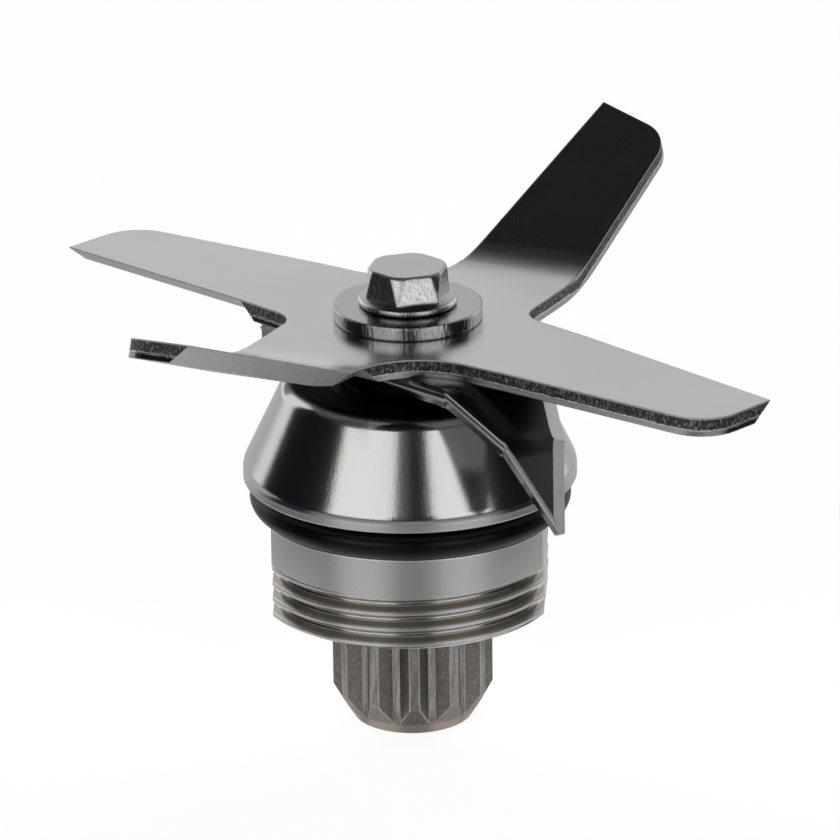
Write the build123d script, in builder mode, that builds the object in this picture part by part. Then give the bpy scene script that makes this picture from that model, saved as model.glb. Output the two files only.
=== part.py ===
from build123d import *
import os
from math import asin, cos, degrees, radians, sin, tan

# Blade assembly of a jug blender, in millimetres.
# +Z is the spin axis, pointing up into the jug, and the origin is the middle of the drive's flat end.
# The housing's two flats face +X and -X. Angles are in degrees, counter-clockwise seen from above.

os.makedirs("parts", exist_ok=True)

# Drive: a sintered spline pressed on the lower end of the spindle
spline_teeth = 12
spline_tip_radius = 8.7
spline_depth = 1.3
spline_land = 1.08
spline_floor = 0.75
spline_phase = -85.4
drive_height = 13.0
nose_inset = 2.3
nose_height = 3.7
nose_edge = 0.4
drive_boss_wall = 1.6
spindle_recess = 1.0

# Housing: turned steel, from the bottom upward
housing_gap = 0.7
thread_length = 6.3
thread_depth = 1.35
thread_chamfer = 0.5
flat_depth = 1.85
band_height = 4.3
lip_radius = 18.0
lip_overhang = 1.6
lip_height = 1.46
lip_edge = 0.15
cone_height = 9.64
cone_angle = 25.5
shoulder_round = 2.0
cone_top_round = 2.0

# Jug seal in its groove under the lip
o_ring_section = 3.0
groove_depth = 2.05
groove_clearance = 0.7

# Shaft seal in the top of the housing
seal_recess = 0.2
seal_height = 4.0
seal_width = 4.0
seal_wall = 0.8
seal_web = 0.9
seal_web_clearance = 0.8
seal_clearance = 0.04
seal_lip_thickness = 1.4
seal_neck = 0.6
garter_radius = 0.4

# Two shielded ball bearings
bearing_bore = 4.0
inner_ring_wall = 2.1
race_gap = 2.8
outer_ring_wall = 2.1
bearing_width = 7.0
race_depth = 0.584
race_clearance = 0.04
ball_count = 7
shield_step = 0.6
shield_thickness = 0.3
shield_inset = 0.25
shield_clearance = 0.25
cage_side_clearance = 0.6
cage_bar = 0.45
pocket_clearance = 0.06
bearing_spacer_length = 2.8
bearing_spacer_wall = 1.6

# Disc spring and retaining ring under the lower bearing
spring_height = 1.4
spring_thickness = 0.5
spring_width = 1.6
spring_clearance = 0.2
clip_thickness = 1.0
clip_depth = 0.5
clip_width = 2.5
clip_side_clearance = 0.05
clip_gap = 50.0
clip_lug_radius = 1.7
clip_hole_radius = 0.7

# Spindle
journal_step = 1.0
collar_step = 2.5
collar_gap = 0.5
collar_height = 2.2
seat_flat_depth = 1.0
seat_clearance = 0.05
seat_drop = 0.3
shaft_flat_depth = 0.7
bolt_hole_depth = 12.0

# Blades: punched, ground and bent sheet
sheet = 2.0
grind_width = 2.35
grind_land = 0.1
grind_run_out = 2.1

# Upper blade, level arms: each edge is a line given by its direction and its distance left of the axis
level_lead_angle = -41.3
level_lead_offset = 8.47
level_reach = 44.25
level_trail_angle = -31.0
level_trail_offset = -8.93
level_tip_turn = -90.0
level_grind_start = 17.1
level_arm_angle = -36.2
level_fold = 19.0
level_droop = 1.07
level_fold_radius = 60.0

# Upper blade, raised arms
raised_lead_angle = 57.9
raised_lead_offset = 5.04
raised_reach = 46.78
raised_trail_angle = 65.4
raised_trail_offset = -10.83
raised_tip_turn = -101.5
raised_grind_start = 15.6
raised_arm_angle = 69.7
raised_fold = 18.13
raised_bend = 23.2
raised_fold_radius = 20.0

# Upper blade, corners of the blank and the room kept beside a folded arm
notch_wide_round = 8.4
notch_tight_round = 3.3
tip_round = 4.8
arm_clearance = 0.86

# Lower blade: two arms, each bent down twice
lower_arm_angle = -58.5
lower_lead_turn = -16.7
lower_trail_turn = 19.29
lower_trail_offset = -9.90
lower_reach = 35.0
lower_tip_width = 1.14
lower_grind_width = 2.13
lower_grind_start = 13.0
lower_first_fold = 16.76
lower_second_fold = 25.26
lower_first_bend = 27.3
lower_second_bend = 29.3
lower_fold_radius = 5.0
lower_hub_round = 6.0
lower_tip_round = 0.3

# Clamp washer and flange bolt
washer_radius = 8.0
washer_thickness = 1.6
washer_edge = 0.15
bolt_radius = 2.45
bolt_clearance = 0.05
washer_clearance = 0.15
bolt_length = 10.5
bolt_flats = 8.0
bolt_head_height = 4.2
bolt_flange_step = 1.3
bolt_flange_height = 1.1
bolt_flange_edge = 0.45
bolt_crown = 3.1
bolt_crown_step = 0.2
bolt_top_round = 0.25
bolt_corner_angle = 19.3

# Levels that follow from the sizes above
housing_bottom = drive_height + housing_gap
band_bottom = housing_bottom + thread_length
groove_bottom = band_bottom + band_height
lip_bottom = groove_bottom + o_ring_section + groove_clearance
cone_bottom = lip_bottom + lip_height
housing_top = cone_bottom + cone_height
seal_top = housing_top - seal_recess
seal_bottom = seal_top - seal_height
bearing_stop = seal_bottom - seal_web
upper_bearing_bottom = bearing_stop - bearing_width
lower_bearing_bottom = upper_bearing_bottom - bearing_spacer_length - bearing_width
clip_top = lower_bearing_bottom - spring_height
clip_bottom = clip_top - clip_thickness
collar_bottom = housing_top + collar_gap
lower_blade_bottom = collar_bottom + collar_height
lower_blade_top = lower_blade_bottom + sheet
upper_blade_bottom = lower_blade_top
upper_blade_top = upper_blade_bottom + sheet
washer_top = upper_blade_top + washer_thickness

# Radii that follow from the sizes above
spline_root_radius = spline_tip_radius - spline_depth
nose_radius = spline_tip_radius - nose_inset
body_radius = lip_radius - lip_overhang
thread_root_radius = body_radius - thread_depth
flat_distance = body_radius - flat_depth
groove_floor_radius = body_radius - groove_depth
cone_top_radius = lip_radius - cone_height * tan(radians(cone_angle))
inner_land_radius = bearing_bore + inner_ring_wall
outer_land_radius = inner_land_radius + race_gap
bearing_outer_radius = outer_land_radius + outer_ring_wall
pitch_radius = (inner_land_radius + outer_land_radius) / 2
ball_radius = race_gap / 2 + race_depth
shield_seat_radius = outer_land_radius + shield_step
cage_height = 2 * (ball_radius + pocket_clearance + cage_bar)
spring_outer_radius = bearing_outer_radius - spring_clearance
spring_inner_radius = spring_outer_radius - spring_width
clip_groove_radius = bearing_outer_radius + clip_depth
drive_boss_radius = bearing_bore + drive_boss_wall
seal_journal_radius = bearing_bore + journal_step
seat_radius = seal_journal_radius
seat_flat = seat_radius - seat_flat_depth
shaft_flat = bearing_bore - shaft_flat_depth
collar_radius = seal_journal_radius + collar_step
seal_outer_radius = seal_journal_radius + seal_width
seal_inner_radius = seal_outer_radius - seal_wall
seal_web_radius = inner_land_radius + seal_web_clearance
bolt_flange_radius = bolt_flats / 2 + bolt_flange_step
up = Vector(0, 0, 1)


def heading(angle):
    """Unit vector in plan along an angle."""
    return Vector(cos(radians(angle)), sin(radians(angle)), 0)


def on_edge(angle, offset, reach):
    """Point on an edge line, at a distance along it from the foot of the axis."""
    return heading(angle) * reach + heading(angle + 90) * offset


def offset_of(point, angle):
    """Distance left of the axis of the edge line through a point."""
    return point.dot(heading(angle + 90))


def meet(angle_a, offset_a, angle_b, offset_b):
    """Corner where two edge lines cross."""
    side_a = heading(angle_a + 90)
    side_b = heading(angle_b + 90)
    area = side_a.X * side_b.Y - side_a.Y * side_b.X
    x = (offset_a * side_b.Y - offset_b * side_a.Y) / area
    y = (side_a.X * offset_b - side_b.X * offset_a) / area
    return Vector(x, y, 0)


def grinding(angle, offset, start, reach, width, edge_level, face_level):
    """Wedge that grinds an edge line: sharp at edge_level, wide on the face at face_level."""
    along = heading(angle)
    inward = heading(angle - 90)
    rise = along * grind_run_out + up * (edge_level - face_level)
    root = on_edge(angle, offset, start - grind_run_out) + up * face_level
    full = rise.length
    edge = full * (1 - grind_land / sheet)
    with BuildPart() as wedge:
        with BuildSketch(Plane(origin=root, x_dir=inward, z_dir=inward.cross(rise))):
            with BuildLine():
                Polyline(
                    (0, edge),
                    (-sheet, edge),
                    (-sheet, -full),
                    (width * (1 + full / edge), -full),
                    close=True,
                )
            make_face()
        extrude(amount=reach - start + 3 * sheet, dir=along)
    return wedge.part


def bend_start(folds):
    """Distance from the axis at which the first bend of an arm begins."""
    distance, bend, radius = folds[0]
    return distance - radius * tan(radians(abs(bend) / 2))


def folded_arm(blank, angle, level, folds, reach, half_width):
    """Pieces of one arm bent out of its flat blank, from its first bend to its tip.

    Each fold is its distance along the middle of the sheet, its bend (up is positive) and its radius there.
    """
    out = heading(angle)
    hinge = out.cross(up)
    tangents = [radius * tan(radians(abs(bend) / 2)) for distance, bend, radius in folds]
    with BuildPart() as strip:
        with BuildSketch(Plane(origin=(0, 0, 0), x_dir=out, z_dir=hinge)):
            with BuildLine():
                spot = Vector(bend_start(folds), level)
                slope = 0
                for number, (distance, bend, radius) in enumerate(folds):
                    curve = JernArc(spot, heading(slope), radius, bend)
                    slope = slope + bend
                    run = reach
                    if number + 1 < len(folds):
                        run = folds[number + 1][0] - distance - tangents[number] - tangents[number + 1]
                    spot = curve @ 1 + heading(slope) * run
                    Line(curve @ 1, spot)
            trace(line_width=sheet)
        extrude(amount=half_width, both=True)

    pieces = []
    shaped = blank
    slope = 0
    point = up * level
    reached = 0
    inner_split = None
    for distance, bend, radius in folds + [(None, 0, 0)]:
        outer_split = None
        if distance is not None:
            point = point + (out * cos(radians(slope)) + up * sin(radians(slope))) * (distance - reached)
            reached = distance
            middle = radians(slope + bend / 2)
            outer_split = Plane(origin=point, z_dir=out * cos(middle) + up * sin(middle))
        with BuildPart() as run_of_sheet:
            add(strip.part)
            add(shaped, mode=Mode.INTERSECT)
            if inner_split is not None:
                split(bisect_by=inner_split, keep=Keep.TOP)
            if outer_split is not None:
                split(bisect_by=outer_split, keep=Keep.BOTTOM)
        pieces.append(run_of_sheet.part)
        shaped = shaped.rotate(Axis(point, hinge), bend)
        slope = slope + bend
        inner_split = outer_split
    return pieces


# Upper blade: outline of the flat blank, one half and its half turn
level_tip = on_edge(level_lead_angle, level_lead_offset, level_reach)
level_tip_angle = level_lead_angle + level_tip_turn
level_tip_offset = offset_of(level_tip, level_tip_angle)
level_heel = meet(level_tip_angle, level_tip_offset, level_trail_angle, level_trail_offset)
raised_tip = on_edge(raised_lead_angle, raised_lead_offset, raised_reach)
raised_tip_angle = raised_lead_angle + raised_tip_turn
raised_tip_offset = offset_of(raised_tip, raised_tip_angle)
raised_heel = meet(raised_tip_angle, raised_tip_offset, raised_trail_angle, raised_trail_offset)
arm_half_width = abs(offset_of(raised_heel, raised_arm_angle)) + arm_clearance
tight_notch = meet(level_lead_angle, level_lead_offset, raised_trail_angle, raised_trail_offset)
wide_notch = meet(level_trail_angle, level_trail_offset, raised_lead_angle + 180, raised_lead_offset)
upper_half = [wide_notch, level_heel, level_tip, tight_notch, raised_heel, raised_tip]
upper_rounds = [notch_wide_round, tip_round, 0, notch_tight_round, tip_round, 0]
upper_corners = upper_half + [corner * -1 for corner in upper_half]

# Upper blade: the blank, thicker than the sheet, with its four leading edges ground from below
upper_middle = upper_blade_bottom + sheet / 2
level_edge = (level_lead_angle, level_lead_offset, level_grind_start, level_reach)
raised_edge = (raised_lead_angle, raised_lead_offset, raised_grind_start, raised_reach)
with BuildPart() as upper_blank:
    with BuildSketch(Plane.XY.offset(upper_middle)):
        with BuildLine():
            FilletPolyline(*upper_corners, radius=upper_rounds + upper_rounds, close=True)
        make_face()
    extrude(amount=2 * sheet, both=True)
    with PolarLocations(0, 2):
        add(grinding(*level_edge, grind_width, upper_blade_top, upper_blade_bottom), mode=Mode.SUBTRACT)
        add(grinding(*raised_edge, grind_width, upper_blade_top, upper_blade_bottom), mode=Mode.SUBTRACT)

# Upper blade: level hub, folded arms and the flatted hole for the spindle
level_folds = [(level_fold, -level_droop, level_fold_radius)]
raised_folds = [(raised_fold, raised_bend, raised_fold_radius)]
level_arm = folded_arm(
    upper_blank.part, level_arm_angle, upper_middle, level_folds, level_reach, arm_half_width
)
raised_arm = folded_arm(
    upper_blank.part, raised_arm_angle, upper_middle, raised_folds, raised_reach, arm_half_width
)
with BuildPart() as upper_blade:
    with BuildSketch(Plane.XY.offset(upper_blade_bottom)):
        Circle(2 * raised_reach)
    extrude(amount=sheet)
    add(upper_blank.part, mode=Mode.INTERSECT)
    with BuildSketch(Plane.XY.offset(upper_blade_bottom)):
        with PolarLocations(bend_start(level_folds), 2, start_angle=level_arm_angle):
            Rectangle(level_reach, 2 * arm_half_width, align=(Align.MIN, Align.CENTER))
        with PolarLocations(bend_start(raised_folds), 2, start_angle=raised_arm_angle):
            Rectangle(raised_reach, 2 * arm_half_width, align=(Align.MIN, Align.CENTER))
    extrude(amount=sheet, mode=Mode.SUBTRACT)
    with PolarLocations(0, 2):
        for piece in level_arm + raised_arm:
            add(piece)
    with BuildSketch(Plane.XY.offset(upper_blade_bottom)):
        Circle(seat_radius + seat_clearance)
        Rectangle(2 * (seat_flat + seat_clearance), 4 * seat_radius, mode=Mode.INTERSECT)
    extrude(amount=sheet, mode=Mode.SUBTRACT)
upper_blade.part.label = "upper_blade"
export_step(upper_blade.part, "parts/upper_blade.step")

# Lower blade: outline of its flat blank, narrowing to a blunt tip
lower_lead_angle = lower_arm_angle + lower_lead_turn
lower_trail_angle = lower_arm_angle + lower_trail_turn
lower_tip_trail = meet(lower_trail_angle, lower_trail_offset, lower_arm_angle + 90, -lower_reach)
lower_tip_lead = lower_tip_trail + heading(lower_arm_angle + 90) * lower_tip_width
lower_lead_offset = offset_of(lower_tip_lead, lower_lead_angle)
lower_hub = meet(lower_trail_angle, lower_trail_offset, lower_lead_angle + 180, lower_lead_offset)
lower_half = [lower_hub, lower_tip_trail, lower_tip_lead]
lower_rounds = [lower_hub_round, lower_tip_round, lower_tip_round]
lower_corners = lower_half + [corner * -1 for corner in lower_half]

# Lower blade: the blank, thicker than the sheet, with both leading edges ground from above
lower_middle = lower_blade_bottom + sheet / 2
lower_edge = (lower_lead_angle, lower_lead_offset, lower_grind_start, lower_reach + lower_lead_offset)
with BuildPart() as lower_blank:
    with BuildSketch(Plane.XY.offset(lower_middle)):
        with BuildLine():
            FilletPolyline(*lower_corners, radius=lower_rounds + lower_rounds, close=True)
        make_face()
    extrude(amount=2 * sheet, both=True)
    with PolarLocations(0, 2):
        add(grinding(*lower_edge, lower_grind_width, lower_blade_bottom, lower_blade_top), mode=Mode.SUBTRACT)

# Lower blade: level hub, folded arms and the flatted hole for the spindle
lower_folds = [
    (lower_first_fold, -lower_first_bend, lower_fold_radius),
    (lower_second_fold, -lower_second_bend, lower_fold_radius),
]
lower_arm = folded_arm(
    lower_blank.part, lower_arm_angle, lower_middle, lower_folds, lower_reach, arm_half_width
)
with BuildPart() as lower_blade:
    with BuildSketch(Plane.XY.offset(lower_blade_bottom)):
        Circle(2 * lower_reach)
    extrude(amount=sheet)
    add(lower_blank.part, mode=Mode.INTERSECT)
    with BuildSketch(Plane.XY.offset(lower_blade_bottom)):
        with PolarLocations(bend_start(lower_folds), 2, start_angle=lower_arm_angle):
            Rectangle(lower_reach, 2 * arm_half_width, align=(Align.MIN, Align.CENTER))
    extrude(amount=sheet, mode=Mode.SUBTRACT)
    with PolarLocations(0, 2):
        for piece in lower_arm:
            add(piece)
    with BuildSketch(Plane.XY.offset(lower_blade_bottom)):
        Circle(seat_radius + seat_clearance)
        Rectangle(2 * (seat_flat + seat_clearance), 4 * seat_radius, mode=Mode.INTERSECT)
    extrude(amount=sheet, mode=Mode.SUBTRACT)
lower_blade.part.label = "lower_blade"
export_step(lower_blade.part, "parts/lower_blade.step")

# Clamp washer on the blades
with BuildPart() as clamp_washer:
    with BuildSketch(Plane.XY.offset(upper_blade_top)):
        Circle(washer_radius)
        Circle(bolt_radius + washer_clearance, mode=Mode.SUBTRACT)
    extrude(amount=washer_thickness)
    washer_rims = clamp_washer.edges().filter_by(GeomType.CIRCLE).group_by(SortBy.RADIUS)[-1]
    fillet(washer_rims, washer_edge)
clamp_washer.part.label = "clamp_washer"
export_step(clamp_washer.part, "parts/clamp_washer.step")

# Flange bolt that holds the blades on the spindle: hexagon with a turned crown, flange and plain shank
bolt_top = washer_top + bolt_head_height
bolt_crown_level = bolt_top - bolt_crown
bolt_corner_radius = bolt_flats / 2 / cos(radians(30))
with BuildPart() as blade_bolt:
    with BuildSketch(Plane.XY.offset(washer_top)):
        RegularPolygon(bolt_flats / 2, 6, major_radius=False, rotation=bolt_corner_angle)
    extrude(amount=bolt_head_height)
    with BuildSketch(Plane.XZ):
        with BuildLine():
            Polyline(
                (0, washer_top),
                (bolt_flats, washer_top),
                (bolt_flats, bolt_crown_level),
                (bolt_corner_radius, bolt_crown_level),
                (bolt_flats / 2 + bolt_crown_step, bolt_top),
                (0, bolt_top),
                close=True,
            )
        make_face()
    revolve(axis=Axis.Z, mode=Mode.INTERSECT)
    fillet(blade_bolt.faces().sort_by(Axis.Z)[-1].edges(), bolt_top_round)
    with BuildSketch(Plane.XZ):
        with BuildLine():
            flange_bottom = Line((0, washer_top), (bolt_flange_radius - bolt_flange_edge, washer_top))
            flange_rim = RadiusArc(
                flange_bottom @ 1,
                (bolt_flange_radius - bolt_flange_edge, washer_top + 2 * bolt_flange_edge),
                -bolt_flange_edge,
            )
            flange_top = Line(flange_rim @ 1, (bolt_flats / 2, washer_top + bolt_flange_height))
            Polyline(flange_top @ 1, (0, washer_top + bolt_flange_height), (0, washer_top))
        make_face()
    revolve(axis=Axis.Z)
    with BuildSketch(Plane.XY.offset(washer_top - bolt_length)):
        Circle(bolt_radius)
    extrude(amount=bolt_length)
blade_bolt.part.label = "blade_bolt"
export_step(blade_bolt.part, "parts/blade_bolt.step")

# Spindle: drive flats, bearing journal, seal journal, collar and the flatted seat for both blades
seat_top = upper_blade_top - seat_drop
with BuildPart() as spindle:
    with BuildSketch(Plane.XY.offset(spindle_recess)):
        Circle(bearing_bore)
        Rectangle(4 * bearing_bore, 2 * shaft_flat, mode=Mode.INTERSECT)
    extrude(amount=drive_height - spindle_recess)
    with BuildSketch(Plane.XY.offset(drive_height)):
        Circle(bearing_bore)
    extrude(amount=bearing_stop - drive_height)
    with BuildSketch(Plane.XY.offset(bearing_stop)):
        Circle(seal_journal_radius)
    extrude(amount=collar_bottom - bearing_stop)
    with BuildSketch(Plane.XY.offset(collar_bottom)):
        Circle(collar_radius)
    extrude(amount=collar_height)
    with BuildSketch(Plane.XY.offset(lower_blade_bottom)):
        Circle(seat_radius)
        Rectangle(2 * seat_flat, 4 * seat_radius, mode=Mode.INTERSECT)
    extrude(amount=seat_top - lower_blade_bottom)
    with BuildSketch(Plane.XY.offset(seat_top)):
        Circle(bolt_radius + bolt_clearance)
    extrude(amount=-bolt_hole_depth, mode=Mode.SUBTRACT)
spindle.part.label = "spindle"
export_step(spindle.part, "parts/spindle.step")

# Housing: turned outside, flats milled on the threaded body, stepped bore for bearings and seal
with BuildPart() as bearing_housing:
    with BuildSketch(Plane.XZ):
        with BuildLine():
            Polyline(
                (0, housing_bottom),
                (thread_root_radius - thread_chamfer, housing_bottom),
                (thread_root_radius, housing_bottom + thread_chamfer),
                (thread_root_radius, band_bottom),
                (body_radius, band_bottom),
                (body_radius, groove_bottom),
                (0, groove_bottom),
                close=True,
            )
        make_face()
    revolve(axis=Axis.Z)
    with BuildSketch(Plane.XY.offset(housing_bottom)):
        Rectangle(2 * flat_distance, 4 * body_radius)
    extrude(amount=groove_bottom - housing_bottom, mode=Mode.INTERSECT)
    with BuildSketch(Plane.XZ):
        with BuildLine():
            FilletPolyline(
                (0, groove_bottom),
                (groove_floor_radius, groove_bottom),
                (groove_floor_radius, lip_bottom),
                (lip_radius, lip_bottom),
                (lip_radius, cone_bottom),
                (cone_top_radius, housing_top),
                (0, housing_top),
                radius=[0, 0, lip_edge, shoulder_round, cone_top_round],
            )
            Line((0, housing_top), (0, groove_bottom))
        make_face()
    revolve(axis=Axis.Z)
    with BuildSketch(Plane.XZ):
        with BuildLine():
            Polyline(
                (0, housing_bottom),
                (bearing_outer_radius, housing_bottom),
                (bearing_outer_radius, clip_bottom - clip_side_clearance),
                (clip_groove_radius + clip_side_clearance, clip_bottom - clip_side_clearance),
                (clip_groove_radius + clip_side_clearance, clip_top + clip_side_clearance),
                (bearing_outer_radius, clip_top + clip_side_clearance),
                (bearing_outer_radius, bearing_stop),
                (seal_web_radius, bearing_stop),
                (seal_web_radius, seal_bottom),
                (seal_outer_radius, seal_bottom),
                (seal_outer_radius, housing_top),
                (0, housing_top),
                close=True,
            )
        make_face()
    revolve(axis=Axis.Z, mode=Mode.SUBTRACT)
bearing_housing.part.label = "bearing_housing"
export_step(bearing_housing.part, "parts/bearing_housing.step")

# Jug seal ring, sitting on the floor and the lower wall of its groove
with BuildPart() as housing_o_ring:
    with BuildSketch(Plane.XZ):
        with Locations((groove_floor_radius + o_ring_section / 2, groove_bottom + o_ring_section / 2)):
            Circle(o_ring_section / 2)
    revolve(axis=Axis.Z)
housing_o_ring.part.label = "housing_o_ring"
export_step(housing_o_ring.part, "parts/housing_o_ring.step")

# Shaft seal: pressed case, rubber lip and garter spring
with BuildPart() as seal_case:
    with BuildSketch(Plane.XZ):
        with BuildLine():
            Polyline(
                (seal_outer_radius, seal_bottom),
                (seal_outer_radius, seal_top),
                (seal_web_radius, seal_top),
                (seal_web_radius, seal_top - seal_wall),
                (seal_inner_radius, seal_top - seal_wall),
                (seal_inner_radius, seal_bottom),
                close=True,
            )
        make_face()
    revolve(axis=Axis.Z)
seal_case.part.label = "seal_case"
export_step(seal_case.part, "parts/seal_case.step")

lip_seal_radius = seal_journal_radius + seal_clearance
lip_back_radius = lip_seal_radius + seal_lip_thickness
lip_level = seal_bottom + 0.3 * seal_height
lip_end = seal_bottom + 0.15 * seal_height
lip_neck_level = seal_bottom + 0.5 * seal_height
with BuildPart() as seal_lip:
    with BuildSketch(Plane.XZ):
        with BuildLine():
            Polyline(
                (seal_inner_radius, seal_top - seal_wall),
                (seal_inner_radius, seal_top - 2 * seal_wall),
                (lip_back_radius, seal_top - 2 * seal_wall),
                (lip_back_radius, lip_end),
                (lip_seal_radius + seal_neck, lip_end),
                (lip_seal_radius, lip_level),
                (lip_seal_radius + seal_neck, lip_neck_level),
                (lip_seal_radius + seal_neck, seal_top - seal_wall),
                close=True,
            )
        make_face()
    revolve(axis=Axis.Z)
seal_lip.part.label = "seal_lip"
export_step(seal_lip.part, "parts/seal_lip.step")

with BuildPart() as garter_spring:
    with BuildSketch(Plane.XZ):
        with Locations((lip_back_radius + garter_radius, lip_level)):
            Circle(garter_radius)
    revolve(axis=Axis.Z)
garter_spring.part.label = "garter_spring"
export_step(garter_spring.part, "parts/garter_spring.step")

# Ball bearings: rings, balls in a cage, and two shields each
for place, bottom in (("upper", upper_bearing_bottom), ("lower", lower_bearing_bottom)):
    middle = bottom + bearing_width / 2
    top = bottom + bearing_width
    seat_depth = shield_inset + shield_thickness
    with BuildPart() as outer_ring:
        with BuildSketch(Plane.XZ):
            with BuildLine():
                Polyline(
                    (bearing_outer_radius, bottom),
                    (bearing_outer_radius, top),
                    (shield_seat_radius, top),
                    (shield_seat_radius, top - seat_depth),
                    (outer_land_radius, top - seat_depth),
                    (outer_land_radius, bottom + seat_depth),
                    (shield_seat_radius, bottom + seat_depth),
                    (shield_seat_radius, bottom),
                    close=True,
                )
            make_face()
            with Locations((pitch_radius, middle)):
                Circle(ball_radius + race_clearance, mode=Mode.SUBTRACT)
        revolve(axis=Axis.Z)
    outer_ring.part.label = place + "_outer_ring"
    export_step(outer_ring.part, "parts/" + place + "_outer_ring.step")

    with BuildPart() as inner_ring:
        with BuildSketch(Plane.XZ):
            with Locations(((bearing_bore + inner_land_radius) / 2, middle)):
                Rectangle(inner_ring_wall, bearing_width)
            with Locations((pitch_radius, middle)):
                Circle(ball_radius + race_clearance, mode=Mode.SUBTRACT)
        revolve(axis=Axis.Z)
    inner_ring.part.label = place + "_inner_ring"
    export_step(inner_ring.part, "parts/" + place + "_inner_ring.step")

    with BuildPart() as cage:
        with BuildSketch(Plane.XY.offset(middle - cage_height / 2)):
            Circle(outer_land_radius - cage_side_clearance)
            Circle(inner_land_radius + cage_side_clearance, mode=Mode.SUBTRACT)
        extrude(amount=cage_height)
        for number in range(ball_count):
            with BuildSketch(Plane(origin=(0, 0, middle), z_dir=heading(360 / ball_count * number))):
                Circle(ball_radius + pocket_clearance)
            extrude(amount=2 * pitch_radius, mode=Mode.SUBTRACT)
    cage.part.label = place + "_cage"
    export_step(cage.part, "parts/" + place + "_cage.step")

    for number in range(ball_count):
        ball_place = heading(360 / ball_count * number) * pitch_radius + up * middle
        with BuildPart() as ball:
            with Locations(ball_place):
                Sphere(ball_radius)
        ball_name = place + "_ball_" + str(number + 1)
        ball.part.label = ball_name
        export_step(ball.part, "parts/" + ball_name + ".step")

    for side, level in (("top", top - seat_depth), ("bottom", bottom + shield_inset)):
        with BuildPart() as shield:
            with BuildSketch(Plane.XY.offset(level)):
                Circle(shield_seat_radius)
                Circle(inner_land_radius + shield_clearance, mode=Mode.SUBTRACT)
            extrude(amount=shield_thickness)
        shield_name = place + "_" + side + "_shield"
        shield.part.label = shield_name
        export_step(shield.part, "parts/" + shield_name + ".step")

# Spacer sleeve between the two inner rings
with BuildPart() as bearing_spacer:
    with BuildSketch(Plane.XY.offset(lower_bearing_bottom + bearing_width)):
        Circle(bearing_bore + bearing_spacer_wall)
        Circle(bearing_bore, mode=Mode.SUBTRACT)
    extrude(amount=bearing_spacer_length)
bearing_spacer.part.label = "bearing_spacer"
export_step(bearing_spacer.part, "parts/bearing_spacer.step")

# Disc spring that loads the lower outer ring, resting on the retaining ring
with BuildPart() as preload_spring:
    with BuildSketch(Plane.XZ):
        with BuildLine():
            Polyline(
                (spring_inner_radius, clip_top),
                (spring_outer_radius, lower_bearing_bottom - spring_thickness),
                (spring_outer_radius, lower_bearing_bottom),
                (spring_inner_radius, clip_top + spring_thickness),
                close=True,
            )
        make_face()
    revolve(axis=Axis.Z)
preload_spring.part.label = "preload_spring"
export_step(preload_spring.part, "parts/preload_spring.step")

# Retaining ring, open at the back, with a plier hole in each lug
clip_lug_reach = clip_groove_radius - clip_lug_radius - clip_depth
with BuildPart() as retaining_ring:
    with BuildSketch(Plane.XY.offset(clip_bottom)):
        Circle(clip_groove_radius)
        Circle(clip_groove_radius - clip_width, mode=Mode.SUBTRACT)
        with BuildLine():
            left_side = heading(90 + clip_gap / 2) * 2 * clip_groove_radius
            right_side = heading(90 - clip_gap / 2) * 2 * clip_groove_radius
            Polyline((0, 0), left_side, right_side, close=True)
        make_face(mode=Mode.SUBTRACT)
        for lug_angle in (90 - clip_gap / 2, 90 + clip_gap / 2):
            with Locations(heading(lug_angle) * clip_lug_reach):
                Circle(clip_lug_radius)
                Circle(clip_hole_radius, mode=Mode.SUBTRACT)
    extrude(amount=clip_thickness)
retaining_ring.part.label = "retaining_ring"
export_step(retaining_ring.part, "parts/retaining_ring.step")

# One flute of the spline, as cut at angle zero
tooth_half_angle = degrees(asin(spline_land / 2 / spline_tip_radius))
flute_foot = Vector(spline_root_radius, spline_floor / 2, 0)
flute_edge = heading(180 / spline_teeth - tooth_half_angle) * spline_tip_radius
flute_mouth = flute_foot + (flute_edge - flute_foot) * 2
with BuildSketch() as flute:
    with BuildLine():
        Polyline(
            (flute_foot.X, -flute_foot.Y),
            (flute_mouth.X, -flute_mouth.Y),
            (flute_mouth.X, flute_mouth.Y),
            (flute_foot.X, flute_foot.Y),
            close=True,
        )
    make_face()

# Splined drive with a conical nose below and a boss up to the lower inner ring
with BuildPart() as drive_spline:
    with BuildSketch(Plane.XZ):
        with BuildLine():
            FilletPolyline(
                (0, 0),
                (nose_radius, 0),
                (spline_tip_radius, nose_height),
                (spline_tip_radius, drive_height),
                (drive_boss_radius, drive_height),
                (drive_boss_radius, lower_bearing_bottom),
                (0, lower_bearing_bottom),
                radius=[nose_edge, 0, 0, 0, 0],
            )
            Line((0, lower_bearing_bottom), (0, 0))
        make_face()
    revolve(axis=Axis.Z)
    with BuildSketch():
        with PolarLocations(0, spline_teeth, start_angle=spline_phase + 180 / spline_teeth):
            add(flute.sketch)
    extrude(amount=drive_height, mode=Mode.SUBTRACT)
    with BuildSketch():
        Circle(bearing_bore)
        Rectangle(4 * bearing_bore, 2 * shaft_flat, mode=Mode.INTERSECT)
    extrude(amount=drive_height, mode=Mode.SUBTRACT)
    with BuildSketch(Plane.XY.offset(drive_height)):
        Circle(bearing_bore)
    extrude(amount=lower_bearing_bottom - drive_height, mode=Mode.SUBTRACT)
drive_spline.part.label = "drive_spline"
export_step(drive_spline.part, "parts/drive_spline.step")
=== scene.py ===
import math

import bmesh
import bpy
from mathutils import Matrix, Vector


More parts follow.
